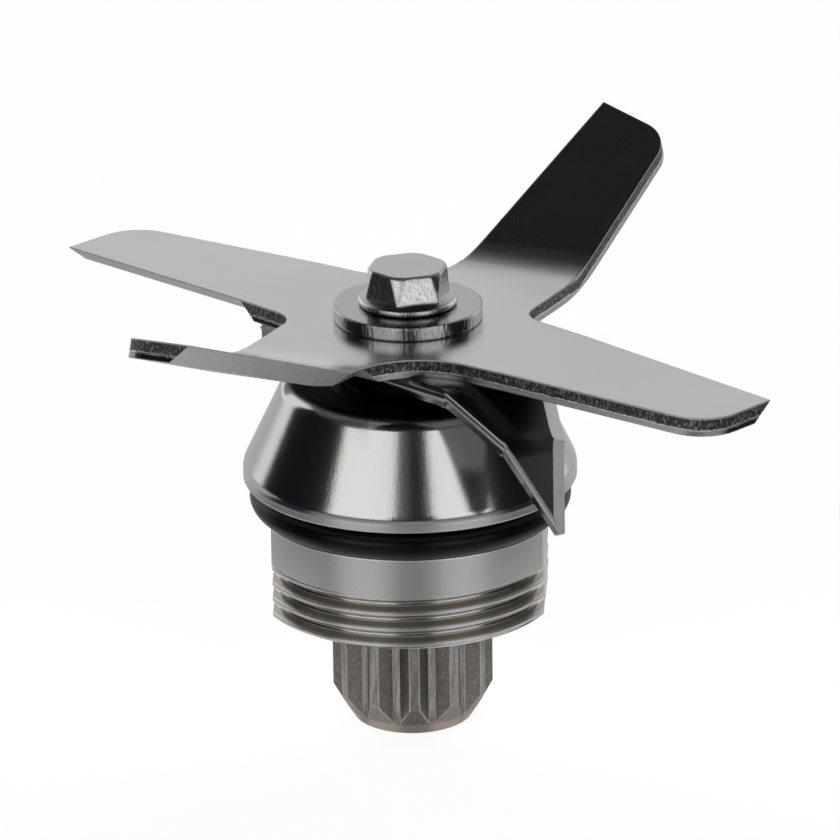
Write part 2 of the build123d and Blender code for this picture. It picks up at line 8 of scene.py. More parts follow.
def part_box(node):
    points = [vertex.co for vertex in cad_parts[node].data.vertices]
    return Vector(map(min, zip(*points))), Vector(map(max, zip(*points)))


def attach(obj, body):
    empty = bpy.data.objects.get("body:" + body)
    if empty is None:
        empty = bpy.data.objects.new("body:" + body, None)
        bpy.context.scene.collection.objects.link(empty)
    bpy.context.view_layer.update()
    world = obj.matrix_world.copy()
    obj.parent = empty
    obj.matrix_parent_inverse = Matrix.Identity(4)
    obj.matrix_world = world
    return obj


bl_info = {
    "name": "Blender Blade Assembly",
    "version": (1, 0, 0),
    "blender": (4, 5, 0),
    "location": "View3D > Sidebar > Blades",
    "description": "Finishes, retaining thread and studio for a jug blender's blade assembly",
    "category": "Object",
}

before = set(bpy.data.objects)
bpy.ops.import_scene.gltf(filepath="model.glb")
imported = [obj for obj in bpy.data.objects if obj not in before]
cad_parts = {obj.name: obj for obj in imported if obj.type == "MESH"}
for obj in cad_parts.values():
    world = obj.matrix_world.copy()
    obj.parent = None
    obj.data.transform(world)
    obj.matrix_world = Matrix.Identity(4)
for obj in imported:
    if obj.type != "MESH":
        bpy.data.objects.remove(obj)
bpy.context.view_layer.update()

MM = 0.001
WELD = 1e-7

# Blades: thickness, heights of the middle of each sheet and distances of its folds in millimetres,
# headings of the arms and their leading edges and slopes of the folded arms in degrees
SHEET = 2.0
UPPER_MIDDLE = 44.8
LEVEL_ARM = -36.2
LEVEL_LEAD = -41.3
LEVEL_FOLD = 19.0
LEVEL_DROOP = 1.07
RAISED_ARM = 69.7
RAISED_FOLD = 18.13
RAISED_SLOPE = 23.2
LOWER_MIDDLE = 42.8
LOWER_ARM = -58.5
LOWER_LEAD = -75.0
LOWER_LEAD_SIDE = 14.8
LOWER_FOLDS = (16.76, 24.31)
LOWER_SLOPES = (27.3, 56.6)
GRIND_SLANT = 62.0

# Heights at which a finish starts and is full, in millimetres
CONE = (28.7, 28.9)
THREAD = (19.97, 19.9)
HOUSING_TOP = (38.6, 38.95)
WASHER = (47.6, 47.5)
BOLT_HEAD = (48.3, 48.5)
DRIVE_NOSE = (1.6, 1.2)
DRIVE_TEETH = (1.5, 4.0)

# Radii at which a finish starts and is full, in millimetres
BAND_WALL = (15.6, 15.8)
BELOW_CREST = (16.15, 15.9)
NEAR_ROOT = (15.5, 15.3)
WASHER_RIM = (7.6, 7.8)

# Lower and upper ends of bands, and the middle of the bolt's flats, as heights in millimetres
BAND_EDGE = (24.14, 24.4)
BOLT_FLANGE = (47.5, 48.4)
BOLT_MIDDLE = 50.0
# The spindle's band of painted shade under the blades
SPINDLE_PAINTED_SHADE = (38.0, 41.9)

# Making of the thread: how far its groove starts below a crest, in turns, and reaches out past it, in metres,
# and the angle in degrees under which its faces are shaded as one
RING_STEPS = 256
GROOVE_STEPS = 180
GROOVE_TURNS = 6
GROOVE_START = 2.5
GROOVE_OVERSHOOT = 0.15 * MM
ROOT_SEGMENTS = 8
SMOOTH_UNDER = 25.0
LEAST_FACES = 1000

# Softboxes: names, azimuths from the front and widths in degrees, and shares of the light;
# then the height and lift of all in degrees, and their distance and the height they aim at in metres
SOFTBOXES = (
    ("left_softbox", -31.5, 43.0, 1.0),
    ("right_softbox", 39.6, 38.0, 1.0),
    ("fill_card", -2.4, 9.0, 0.08),
)
BOX_TALL = 30.0
BOX_LIFT = 20.0
BOX_DISTANCE = 0.75
BOX_AIM = 0.033

# Sky: how far up it starts to darken and is dark, where 1 is straight up
SKY_DARKENS = (0.57, 0.74)

# Floor and screen, in metres and degrees
FLOOR_RADIUS = 3.0
FLOOR_DROP = 0.02 * MM
SCREEN_RADIUS = 1.3
SCREEN_HEIGHT = 1.6
SCREEN_HALF_OPENING = 64.0

# Floor as metal mirrors it, a painted reflection: radii and depths at which a part of it starts and is full,
# in millimetres, and the bearings between which each painted sheen lies, in radians
NEAR_RADIUS = (52.0, 34.0)
NEAR_DEPTH = (20.0, -10.0)
FAR_RADIUS = (60.0, 95.0)
FAR_DEPTH = (60.0, 10.0)
SHEEN_RADIUS = (170.0, 120.0)
LEFT_SHEEN = (-2.4, -1.75)
RIGHT_SHEEN = (-1.2, -0.6)


def level(node, end):
    """Height of a node's lower (0) or upper (1) end, in metres."""
    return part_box(node)[end].z


class Value:
    """One socket of a node tree, so that shader maths reads as plain expressions."""

    def __init__(self, nodes, socket):
        self.nodes = nodes
        self.socket = socket

    def maths(self, operation, *items):
        sockets = dict(enumerate(items))
        return self.nodes.node("Math", {"operation": operation}, sockets)

    def __add__(self, other):
        return self.maths("ADD", self, other)

    __radd__ = __add__

    def __sub__(self, other):
        return self.maths("SUBTRACT", self, other)

    def __rsub__(self, other):
        return self.maths("SUBTRACT", other, self)

    def __mul__(self, other):
        return self.maths("MULTIPLY", self, other)

    __rmul__ = __mul__

    def __truediv__(self, other):
        return self.maths("DIVIDE", self, other)

    def __pow__(self, other):
        return self.maths("POWER", self, other)

    def __abs__(self):
        return self.maths("ABSOLUTE", self)

    def __gt__(self, other):
        return self.maths("GREATER_THAN", self, other)

    def most(self, other):
        return self.maths("MAXIMUM", self, other)


class Nodes:
    """A node tree under construction."""

    def __init__(self, tree, output):
        self.tree = tree
        self.tree.nodes.clear()
        self.output = self.tree.nodes.new(output)

    def node(self, kind, settings=None, sockets=None, output=0):
        """Adds one node: its settings first, then the values or links of its sockets."""
        node = self.tree.nodes.new("ShaderNode" + kind)
        for name, value in (settings or {}).items():
            setattr(node, name, value)
        for name, value in (sockets or {}).items():
            if isinstance(value, Value):
                self.tree.links.new(value.socket, node.inputs[name])
            else:
                node.inputs[name].default_value = value
        return Value(self, node.outputs[output])

    def finish(self, shader):
        """Sends a shader to the tree's output."""
        self.tree.links.new(shader.socket, self.output.inputs["Surface"])

    def place(self):
        """Where a point is on the object, in millimetres."""
        place = self.node("TexCoord", output="Object")
        return self.node("VectorMath", {"operation": "SCALE"}, {0: place, "Scale": 1.0 / MM})

    def facing(self):
        """The way a point's surface faces, in the object's own frame."""
        return self.node("TexCoord", output="Normal")

    def along(self, vector, direction):
        """How far a vector reaches along a direction."""
        sockets = {0: vector, 1: direction}
        return self.node("VectorMath", {"operation": "DOT_PRODUCT"}, sockets, "Value")

    def axis(self, vector, name):
        return self.node("SeparateXYZ", None, {0: vector}, name)

    def in_plan(self, vector):
        """A vector with its height left out."""
        return self.node("VectorMath", {"operation": "MULTIPLY"}, {0: vector, 1: (1.0, 1.0, 0.0)})

    def from_axis(self, vector):
        """Distance from the spin axis."""
        return self.node("VectorMath", {"operation": "LENGTH"}, {0: self.in_plan(vector)}, "Value")

    def around_axis(self, vector):
        """Angle round the spin axis, in radians."""
        sideways = self.axis(vector, "Y")
        return sideways.maths("ARCTAN2", sideways, self.axis(vector, "X"))

    def joined(self, x, y, z):
        return self.node("CombineXYZ", None, {0: x, 1: y, 2: z})

    def fade(self, value, low, high):
        """0 up to low, 1 from high on, smooth between; the other way round where low is above high."""
        return self.node("MapRange", {"interpolation_type": "SMOOTHSTEP"}, {0: value, 1: low, 2: high})

    def band(self, value, low, high, soft):
        """1 between low and high, fading out over a soft margin."""
        return self.fade(value, low - soft, low + soft) * self.fade(value, high + soft, high - soft)

    def noise(self, vector, scale, detail=2.0, roughness=0.5):
        sockets = {0: vector, "Scale": scale, "Detail": detail, "Roughness": roughness}
        return self.node("TexNoise", None, sockets)

    def lathe_marks(self, radius, height, count, detail):
        """Fine rings round the spin axis, about so many to the millimetre."""
        return self.noise(self.joined(radius * count, height * count, 0.0), 1.0, detail)

    def stretched(self, vector, turn, scale):
        """A vector turned about the spin axis, then scaled, for streaks."""
        sockets = {0: vector, "Rotation": (0.0, 0.0, math.radians(turn)), "Scale": scale}
        return self.node("Mapping", None, sockets)

    def mixed(self, factor, first, second):
        return self.node("Mix", {"data_type": "RGBA"}, {0: factor, 6: first, 7: second}, 2)

    def eased_edges(self, radius):
        """Normals that round every sharp edge over a small radius, in millimetres."""
        return self.node("Bevel", {"samples": 4}, {"Radius": radius * MM})

    def edges(self, eased):
        """Tells how near a point is to a sharp edge, from how far the eased normal leans there."""
        normal = self.node("NewGeometry", output="Normal")
        return self.fade(self.along(eased, normal), 0.995, 0.9)

    def bump(self, height, depth, base):
        """Normals of a relief whose full depth is given in millimetres."""
        sockets = {"Strength": 1.0, "Distance": depth * MM, "Height": height, "Normal": base}
        return self.node("Bump", None, sockets)

    def surface(self, colour, roughness, normal, **others):
        """A plain surface, with any other sockets by name."""
        sockets = {"Base Color": colour, "Roughness": roughness, "Normal": normal, **others}
        return self.node("BsdfPrincipled", None, sockets)

    def metal(self, colour, roughness, normal):
        return self.surface(colour, roughness, normal, Metallic=1.0)


def new_finish(name):
    """An empty material and its nodes."""
    material = bpy.data.materials.new(name)
    material.use_nodes = True
    return material, Nodes(material.node_tree, "ShaderNodeOutputMaterial")


def grey(shade):
    return (shade, shade, shade, 1.0)


def heading(angle):
    """Unit vector in plan along an angle in degrees."""
    return (math.cos(math.radians(angle)), math.sin(math.radians(angle)), 0.0)


def dress(names, material):
    """Gives a finish to the CAD nodes with these names."""
    for name in names:
        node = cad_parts[name]
        if node.material_slots:
            for slot in node.material_slots:
                slot.material = material
        else:
            node.data.materials.append(material)


def start_fresh():
    """Leaves edit mode and deselects everything."""
    if bpy.context.mode != "OBJECT":
        bpy.ops.object.mode_set(mode="OBJECT")
    bpy.ops.object.select_all(action="DESELECT")


def pick(test):
    """In edit mode, selects the vertices that pass a test, with the edges and faces between them."""
    mesh = bpy.context.edit_object.data
    shape = bmesh.from_edit_mesh(mesh)
    bpy.ops.mesh.select_mode(type="VERT")
    for vertex in shape.verts:
        vertex.select = test(vertex.co)
    shape.select_flush_mode()
    bmesh.update_edit_mesh(mesh)


def bake_place():
    """Puts the selected objects' place, turn and scale into their meshes."""
    bpy.ops.object.transform_apply(location=True, rotation=True, scale=True)


def settle(piece, name):
    """Names a finished piece and puts its place into its mesh."""
    piece.name = name
    piece.data.name = name
    bake_place()


class ThreadSizes(bpy.types.PropertyGroup):
    """Sizes of the retaining thread."""

    pitch: bpy.props.FloatProperty(
        name="Pitch", description="Rise of the thread in one turn",
        default=1.78 * MM, unit="LENGTH", precision=5
    )
    crest: bpy.props.FloatProperty(
        name="Crest radius", description="Radius over the crests",
        default=16.2 * MM, unit="LENGTH", precision=5
    )
    bore: bpy.props.FloatProperty(
        name="Inner radius", description="Radius inside, within the core",
        default=14.9 * MM, unit="LENGTH", precision=5
    )
    land: bpy.props.FloatProperty(
        name="Crest land", description="Width of the flat crest",
        default=0.31 * MM, unit="LENGTH", precision=5
    )
    flank: bpy.props.FloatProperty(
        name="Flank angle", description="Slope of each flank",
        default=math.radians(30.0), subtype="ANGLE"
    )
    round: bpy.props.FloatProperty(
        name="Root round", description="Radius of the rounded root",
        default=0.25 * MM, unit="LENGTH", precision=5
    )
    length: bpy.props.FloatProperty(
        name="Length", description="From the housing's lower end",
        default=6.3 * MM, unit="LENGTH", precision=5
    )
    lead_in: bpy.props.FloatProperty(
        name="Lead-in", description="Height of the lead-in chamfer",
        default=1.2 * MM, unit="LENGTH", precision=5
    )
    lead_step: bpy.props.FloatProperty(
        name="Lead-in step", description="Depth of the lead-in chamfer",
        default=0.5 * MM, unit="LENGTH", precision=5
    )
    flat: bpy.props.FloatProperty(
        name="Flat distance", description="From the axis to each flat",
        default=14.54 * MM, unit="LENGTH", precision=5
    )
    start: bpy.props.FloatProperty(
        name="Start height", description="Height of a crest over the X axis",
        default=16.71 * MM, unit="LENGTH", precision=5
    )


class FinishColours(bpy.types.PropertyGroup):
    """Colours of the finishes."""

    blade: bpy.props.FloatVectorProperty(
        name="Blade", description="Satin sheet of the blades",
        default=(0.43, 0.43, 0.428), subtype="COLOR"
    )
    fracture: bpy.props.FloatVectorProperty(
        name="Fracture", description="Torn part of a punched edge",
        default=(0.06, 0.06, 0.063), subtype="COLOR"
    )
    housing: bpy.props.FloatVectorProperty(
        name="Housing", description="Turned steel of the housing",
        default=(0.60, 0.595, 0.58), subtype="COLOR"
    )
    groove: bpy.props.FloatVectorProperty(
        name="Thread groove", description="Oily floor of the thread",
        default=(0.33, 0.30, 0.26), subtype="COLOR"
    )
    bolt: bpy.props.FloatVectorProperty(
        name="Bolt", description="Bolt and washer",
        default=(0.60, 0.60, 0.59), subtype="COLOR"
    )
    sinter: bpy.props.FloatVectorProperty(
        name="Drive", description="Sintered drive",
        default=(0.2, 0.178, 0.155), subtype="COLOR"
    )
    rubber: bpy.props.FloatVectorProperty(
        name="Rubber", description="Seals",
        default=(0.003, 0.003, 0.0035), subtype="COLOR"
    )
    nylon: bpy.props.FloatVectorProperty(
        name="Cage", description="Nylon cages of the bearings",
        default=(0.72, 0.66, 0.52), subtype="COLOR"
    )


class StudioSettings(bpy.types.PropertyGroup):
    """Light and floor of the studio."""

    box_light: bpy.props.FloatProperty(
        name="Softbox light", description="Brightness of the softboxes", default=1.2, min=0.0
    )
    floor_glow: bpy.props.FloatProperty(
        name="Floor white", description="Light added to the floor in view, so that it is white",
        default=0.8, min=0.0
    )
    floor_colour: bpy.props.FloatVectorProperty(
        name="Floor", description="Colour of the floor", default=(0.8, 0.8, 0.8), subtype="COLOR"
    )


def shaded(name, factor):
    """One of the finish colours, lighter or darker."""
    return (*[part * factor for part in getattr(bpy.context.scene.blade_colours, name)], 1.0)


def colour(name):
    """One of the finish colours as it is."""
    return shaded(name, 1.0)


def blade_finish(name, sheet_height, ground_mask, painted_shade_mask, lead, torn_level, bulge):
    """Satin sheet with punched walls and ground bevels.

    sheet_height gives the height in the sheet, ground_mask tells the bevels, and the next mask tells the
    faces that get painted shade, a darker colour. lead is the heading of a leading edge, and torn_level the
    height above which a wall is torn. bulge is how far the walls look tumbled round, in millimetres. Where it
    is 0, they are square and have a painted highlight, a light strip, along their upper edge.
    """
    material, nodes = new_finish(name)
    place = nodes.place()
    face = nodes.facing()
    height = sheet_height(nodes, place)
    eased = nodes.eased_edges(0.2)
    ground = ground_mask(nodes, face)
    wall = nodes.fade(abs(nodes.axis(face, "Z")), 0.5, 0.4) * (1 - ground)
    # Painted highlight: a light strip along the upper edge of square walls, in a colour that is not metal
    painted_edge_highlight = wall * nodes.fade(height, 0.9, 0.94) * (0.0 if bulge else 1.0)

    # The torn upper part of a punched wall, its jagged lower border, and a painted highlight line along that
    # border
    waves = nodes.noise(place, 0.9, 2.0) * 0.10 + nodes.noise(place, 3.5, 3.0, 0.7) * 0.22
    border = height + waves - 0.16
    torn = nodes.fade(border, torn_level, torn_level + 0.05) * wall * (1 - painted_edge_highlight)
    lip = nodes.band(border, torn_level - 0.07, torn_level + 0.01, 0.025) * wall
    chips = nodes.noise(nodes.stretched(place, 0.0, (1.0, 1.0, 0.6)), 4.5, 4.0, 0.7)

    # Shades of the sheet, the bevels and the torn part
    clouds = nodes.noise(place, 0.16, 2.0)
    grain = nodes.noise(place, 6.5, 2.0, 0.6)
    lines = nodes.noise(nodes.stretched(place, GRIND_SLANT - lead, (0.2, 7.0, 1.0)), 1.3, 3.0)
    sheet_shade = nodes.mixed(clouds * 0.6 + grain * 0.4, shaded("blade", 0.92), shaded("blade", 1.08))
    ground_shade = nodes.mixed(nodes.fade(lines, 0.25, 0.75), shaded("blade", 1.05), shaded("blade", 1.4))
    torn_shade = nodes.mixed(nodes.fade(chips, 0.45, 0.75), colour("fracture"), shaded("fracture", 10.0))
    # Painted shade: the faces under and between the blades are painted near black
    shade = nodes.mixed(painted_shade_mask(nodes, face) * 0.6, sheet_shade, grey(0.04))
    shade = nodes.mixed(ground, shade, ground_shade)
    shade = nodes.mixed(torn, shade, torn_shade)
    # Painted highlights: light along the torn border and along the upper edge of square walls
    shade = nodes.mixed(lip.most(painted_edge_highlight), shade, shaded("blade", 1.9))

    # Gloss and relief
    rough = 0.2 + grain * 0.05 + clouds * 0.03 + ground * 0.22 - wall * 0.05 + torn * 0.2 + painted_edge_highlight * 0.2
    swelling = (1 - (height * 2 - 1) ** 2).most(0.0) ** 0.5
    relief = nodes.bump(swelling * wall, bulge, eased)
    relief = nodes.bump(grain, 0.0015, relief)
    relief = nodes.bump(lines * ground, 0.008, relief)
    relief = nodes.bump(chips * torn - torn * 0.7 + lip * 0.3, 0.16, relief)
    nodes.finish(nodes.surface(shade, rough, relief, Metallic=1 - painted_edge_highlight))
    return material


def upper_sheet_height(nodes, place):
    """Height in the upper blade's sheet, from 0 below to 1 above, on its hub and on all four arms."""
    raised = abs(nodes.along(place, heading(RAISED_ARM)))
    flat = abs(nodes.along(place, heading(LEVEL_ARM)))
    on_raised = raised > flat
    climb = (raised - RAISED_FOLD).most(0.0) * on_raised
    droop = (flat - LEVEL_FOLD).most(0.0) * (1 - on_raised)
    slope = math.radians(RAISED_SLOPE)
    rise = nodes.axis(place, "Z") - UPPER_MIDDLE
    lift = rise - climb * math.tan(slope) + droop * math.tan(math.radians(LEVEL_DROOP))
    lean = 1 - (climb > 0.0) * (1 - math.cos(slope))
    return lift * lean / SHEET + 0.5


def upper_ground(nodes, face):
    """Tells the upper blade's bevels: they face down and outwards."""
    return nodes.band(nodes.axis(face, "Z"), -0.85, -0.55, 0.02)


def upper_painted_shade(nodes, face):
    """Tells the upper blade's lower face, which gets painted shade."""
    return nodes.fade(nodes.axis(face, "Z"), -0.85, -0.9)


def lower_sheet_height(nodes, place):
    """Height in the lower blade's sheet, from 0 below to 1 above, along its twice bent arms."""
    out = abs(nodes.along(place, heading(LOWER_ARM)))
    first, second = [math.radians(slope) for slope in LOWER_SLOPES]
    first_fold, second_fold = LOWER_FOLDS
    fall = (out - first_fold).most(0.0) * math.tan(first)
    fall = fall + (out - second_fold).most(0.0) * (math.tan(second) - math.tan(first))
    lean = 1 - (out > first_fold) * (1 - math.cos(first))
    lean = lean - (out > second_fold) * (math.cos(first) - math.cos(second))
    return (nodes.axis(place, "Z") - LOWER_MIDDLE + fall) * lean / SHEET + 0.5


def lower_ground(nodes, face):
    """Tells the lower blade's bevels: they face up and to the leading side."""
    side = abs(nodes.along(face, heading(LOWER_LEAD_SIDE)))
    return nodes.band(side, 0.42, 0.85, 0.03) * nodes.fade(nodes.axis(face, "Z"), 0.15, 0.25)


def lower_painted_shade(nodes, face):
    """Tells both faces of the lower blade, which get painted shade."""
    return nodes.fade(abs(nodes.axis(face, "Z")), 0.35, 0.5)


def housing_finish(name):
    """Turned steel: polished cone, satin bands, oily thread, painted shade on top under the blades."""
    material, nodes = new_finish(name)
    place = nodes.place()
    radius = nodes.from_axis(place)
    height = nodes.axis(place, "Z")
    around = nodes.around_axis(place)
    eased = nodes.eased_edges(0.15)

    turning = nodes.noise(nodes.joined(around * 1.2, height * 9.0, radius * 9.0), 1.0, 3.0, 0.6)
    mottle = nodes.noise(place, 2.6, 3.0, 0.65)
    grain = nodes.noise(place, 6.0, 2.0)
    clouds = nodes.noise(place, 0.2, 2.0)
    cone = nodes.fade(height, *CONE)
    # Painted highlight: a light line along the band's edge
    painted_edge_highlight = nodes.band(height, *BAND_EDGE, 0.03) * nodes.fade(radius, *BAND_WALL)
    thread = nodes.fade(height, *THREAD)
    deep = thread * nodes.fade(radius, *BELOW_CREST)
    root = thread * nodes.fade(radius, *NEAR_ROOT)
    upward = nodes.axis(nodes.facing(), "Z")
    # Painted shade: the upward faces on top, under the blades, are painted near black
    painted_shade_on_top = nodes.fade(height, *HOUSING_TOP) * nodes.fade(upward, 0.75, 0.97)

    pattern = mottle * 0.5 + turning * 0.2 + grain * 0.3
    shade = nodes.mixed(pattern, shaded("housing", 0.9), shaded("housing", 1.08))
    shade = nodes.mixed(deep * (0.7 + clouds * 0.4) * (1 - root), shade, colour("groove"))
    shade = nodes.mixed(painted_edge_highlight, shade, shaded("housing", 1.5))
    shade = nodes.mixed(painted_shade_on_top, shade, grey(0.02))
    rough = 0.25 - cone * 0.14 + mottle * 0.06 + grain * 0.03
    rough = rough - thread * 0.06 - root * 0.08 + painted_shade_on_top * 0.3
    relief = nodes.bump(turning, 0.002, eased)
    relief = nodes.bump(mottle * cone, 0.006, relief)
    relief = nodes.bump(grain * cone, 0.004, relief)
    nodes.finish(nodes.metal(shade, rough, relief))
    return material


def bolt_finish(name):
    """Bright bolt and washer: satin on top, forged dents on the flats, streaks down the washer's rim."""
    material, nodes = new_finish(name)
    place = nodes.place()
    radius = nodes.from_axis(place)
    height = nodes.axis(place, "Z")
    side = nodes.fade(abs(nodes.axis(nodes.facing(), "Z")), 0.8, 0.6)
    rim = side * nodes.fade(radius, *WASHER_RIM)
    flats = side * (1 - rim)
    washer = nodes.fade(height, *WASHER)
    flange = nodes.band(height, *BOLT_FLANGE, 0.05)
    rings = nodes.lathe_marks(radius, height, 6.0, 2.0)
    dents = nodes.noise(nodes.stretched(place, 0.0, (1.0, 1.0, 0.6)), 2.6, 3.0, 0.6)
    streaks = nodes.noise(nodes.stretched(place, 0.0, (1.0, 1.0, 0.2)), 3.0, 2.0, 0.6)
    fine = nodes.noise(place, 6.0, 3.0, 0.6)

    pattern = nodes.fade(dents * 0.5 + fine * 0.5, 0.3, 0.7)
    # Painted light and shade: the flats are painted lighter and the tops of the bolt and the washer darker
    shade = nodes.mixed(pattern, shaded("bolt", 0.8), shaded("bolt", 1.25))
    top = nodes.mixed(washer, shaded("bolt", 0.61), shaded("bolt", 0.45))
    shade = nodes.mixed((1 - side) * (0.8 + fine * 0.2), shade, top)
    # Painted highlight: the flange's side is painted lighter
    shade = nodes.mixed(flange * side, shade, shaded("bolt", 1.4))
    rough = 0.26 + fine * 0.06 - side * 0.06 - rim * 0.05 + flange * 0.04 - washer * (1 - side) * 0.08

    # The upright flats take the light as if they leaned in a little, with dents and streaks over that
    leaning = (BOLT_MIDDLE - height) * 0.29 * side * nodes.fade(height, *BOLT_HEAD)
    relief = nodes.bump(leaning, 1.0, nodes.eased_edges(0.45))
    relief = nodes.bump(dents * flats, 0.045, relief)
    relief = nodes.bump(streaks * flats, 0.035, relief)
    relief = nodes.bump(streaks * rim, 0.05, relief)
    relief = nodes.bump(rings * (1 - side), 0.002, relief)
    relief = nodes.bump(fine, 0.004, relief)
    nodes.finish(nodes.metal(shade, rough, relief))
    return material


def spindle_finish(name):
    """Ground steel of the spindle, the shields and the sleeve, in painted shade under the blades."""
    material, nodes = new_finish(name)
    place = nodes.place()
    height = nodes.axis(place, "Z")
    rings = nodes.lathe_marks(nodes.from_axis(place), height, 7.0, 3.0)
    clouds = nodes.noise(place, 0.5, 3.0)
    shade = nodes.mixed(rings * 0.5 + clouds * 0.5, grey(0.46), grey(0.6))
    # Painted shade: near black where the spindle shows under the blades
    shade = nodes.mixed(nodes.band(height, *SPINDLE_PAINTED_SHADE, 0.1), shade, grey(0.02))
    rough = 0.22 + clouds * 0.08 + rings * 0.04
    nodes.finish(nodes.metal(shade, rough, nodes.bump(rings, 0.004, nodes.eased_edges(0.1))))
    return material


def sinter_finish(name):
    """Sintered drive: grainy brown flanks, lands and floors rubbed lighter by the die, edges painted light.
    """
    material, nodes = new_finish(name)
    place = nodes.place()
    height = nodes.axis(place, "Z")
    eased = nodes.eased_edges(0.2)
    grain = nodes.noise(place, 3.6, 4.0, 0.7)
    pores = nodes.fade(nodes.noise(place, 7.0, 2.0, 0.5), 0.38, 0.28)
    rub = nodes.noise(nodes.stretched(place, 0.0, (3.0, 3.0, 0.25)), 1.0, 3.0, 0.6)
    radial = nodes.node("VectorMath", {"operation": "NORMALIZE"}, {0: nodes.in_plan(place)})
    outward = nodes.along(nodes.facing(), radial)
    rubbed = nodes.fade(outward, 0.8, 1.0) * nodes.fade(height, *DRIVE_TEETH)
    # Painted highlight: edges painted light, broken up by the rub pattern
    painted_edge_light = nodes.edges(eased) * nodes.fade(rub, 0.2, 0.5)
    shade = nodes.mixed(nodes.fade(grain, 0.25, 0.75), shaded("sinter", 0.6), shaded("sinter", 1.3))
    shade = nodes.mixed(rubbed * nodes.fade(rub, 0.3, 0.7), shade, grey(0.34))
    shade = nodes.mixed(nodes.fade(height, *DRIVE_NOSE) * 0.8, shade, shaded("sinter", 1.6))
    shade = nodes.mixed(pores * 0.7, shade, grey(0.05))
    shade = nodes.mixed(painted_edge_light, shade, grey(0.6))
    rough = 0.32 + grain * 0.12 - rubbed * 0.06
    relief = nodes.bump(grain * (1 - rubbed * 0.7), 0.05, eased)
    relief = nodes.bump(1 - pores, 0.02, relief)
    nodes.finish(nodes.metal(shade, rough, relief))
    return material


def rubber_finish(name):
    """Smooth black rubber with a faint bloom and fine grain."""
    material, nodes = new_finish(name)
    place = nodes.place()
    bloom = nodes.noise(place, 0.35, 3.0, 0.6)
    grain = nodes.noise(place, 9.0, 2.0)
    shade = nodes.mixed(nodes.fade(bloom, 0.4, 0.8), colour("rubber"), shaded("rubber", 1.8))
    rough = 0.24 + bloom * 0.08 + grain * 0.05
    relief = nodes.bump(grain, 0.004, nodes.eased_edges(0.08))
    nodes.finish(nodes.surface(shade, rough, relief, IOR=1.3))
    return material


def spring_finish(name):
    """Dark phosphated spring steel with rubbed high spots."""
    material, nodes = new_finish(name)
    place = nodes.place()
    clouds = nodes.noise(place, 0.9, 4.0, 0.6)
    grain = nodes.noise(place, 6.0, 2.0)
    shade = nodes.mixed(nodes.fade(clouds, 0.35, 0.75), grey(0.09), grey(0.24))
    rough = 0.36 + grain * 0.14
    nodes.finish(nodes.metal(shade, rough, nodes.bump(grain, 0.006, nodes.eased_edges(0.1))))
    return material


def bearing_finish(name):
    """Ground and polished rings and balls."""
    material, nodes = new_finish(name)
    place = nodes.place()
    rings = nodes.lathe_marks(nodes.from_axis(place), nodes.axis(place, "Z"), 8.0, 2.0)
    clouds = nodes.noise(place, 0.7, 3.0)
    shade = nodes.mixed(rings * 0.4 + clouds * 0.6, grey(0.6), grey(0.72))
    rough = 0.1 + clouds * 0.06 + rings * 0.03
    nodes.finish(nodes.metal(shade, rough, nodes.bump(rings, 0.002, nodes.eased_edges(0.12))))
    return material


def nylon_finish(name):
    """Moulded natural nylon."""
    material, nodes = new_finish(name)
    place = nodes.place()
    clouds = nodes.noise(place, 0.5, 3.0)
    grain = nodes.noise(place, 7.0, 2.0)
    shade = nodes.mixed(clouds, shaded("nylon", 0.88), shaded("nylon", 1.06))
    rough = 0.4 + grain * 0.12
    nodes.finish(nodes.surface(shade, rough, nodes.bump(grain, 0.008, nodes.eased_edges(0.1))))
    return material


class BLADES_OT_blades(bpy.types.Operator):
    """Finishes both blades as satin sheet with punched and ground edges"""

    bl_idname = "blades.blades"
    bl_label = "Blades"

    def execute(self, context):
        upper = blade_finish(
            "upper_blade_satin", upper_sheet_height, upper_ground, upper_painted_shade,
            lead=LEVEL_LEAD, torn_level=0.36, bulge=0.0,
        )
        # No height reaches this level, so no wall of the lower blade is torn
        lower = blade_finish(
            "lower_blade_satin", lower_sheet_height, lower_ground, lower_painted_shade,
            lead=LOWER_LEAD, torn_level=1.5, bulge=0.9,
        )
        dress(["upper_blade"], upper)
        dress(["lower_blade"], lower)
        return {"FINISHED"}


class BLADES_OT_fasteners(bpy.types.Operator):
    """Finishes the bolt and the clamp washer"""

    bl_idname = "blades.fasteners"
    bl_label = "Bolt and washer"

    def execute(self, context):
        dress(["blade_bolt", "clamp_washer"], bolt_finish("bolt_bright"))
        return {"FINISHED"}


class BLADES_OT_housing(bpy.types.Operator):
    """Finishes the bearing housing"""

    bl_idname = "blades.housing"
    bl_label = "Housing"

    def execute(self, context):
        dress(["bearing_housing"], housing_finish("housing_turned"))
        return {"FINISHED"}


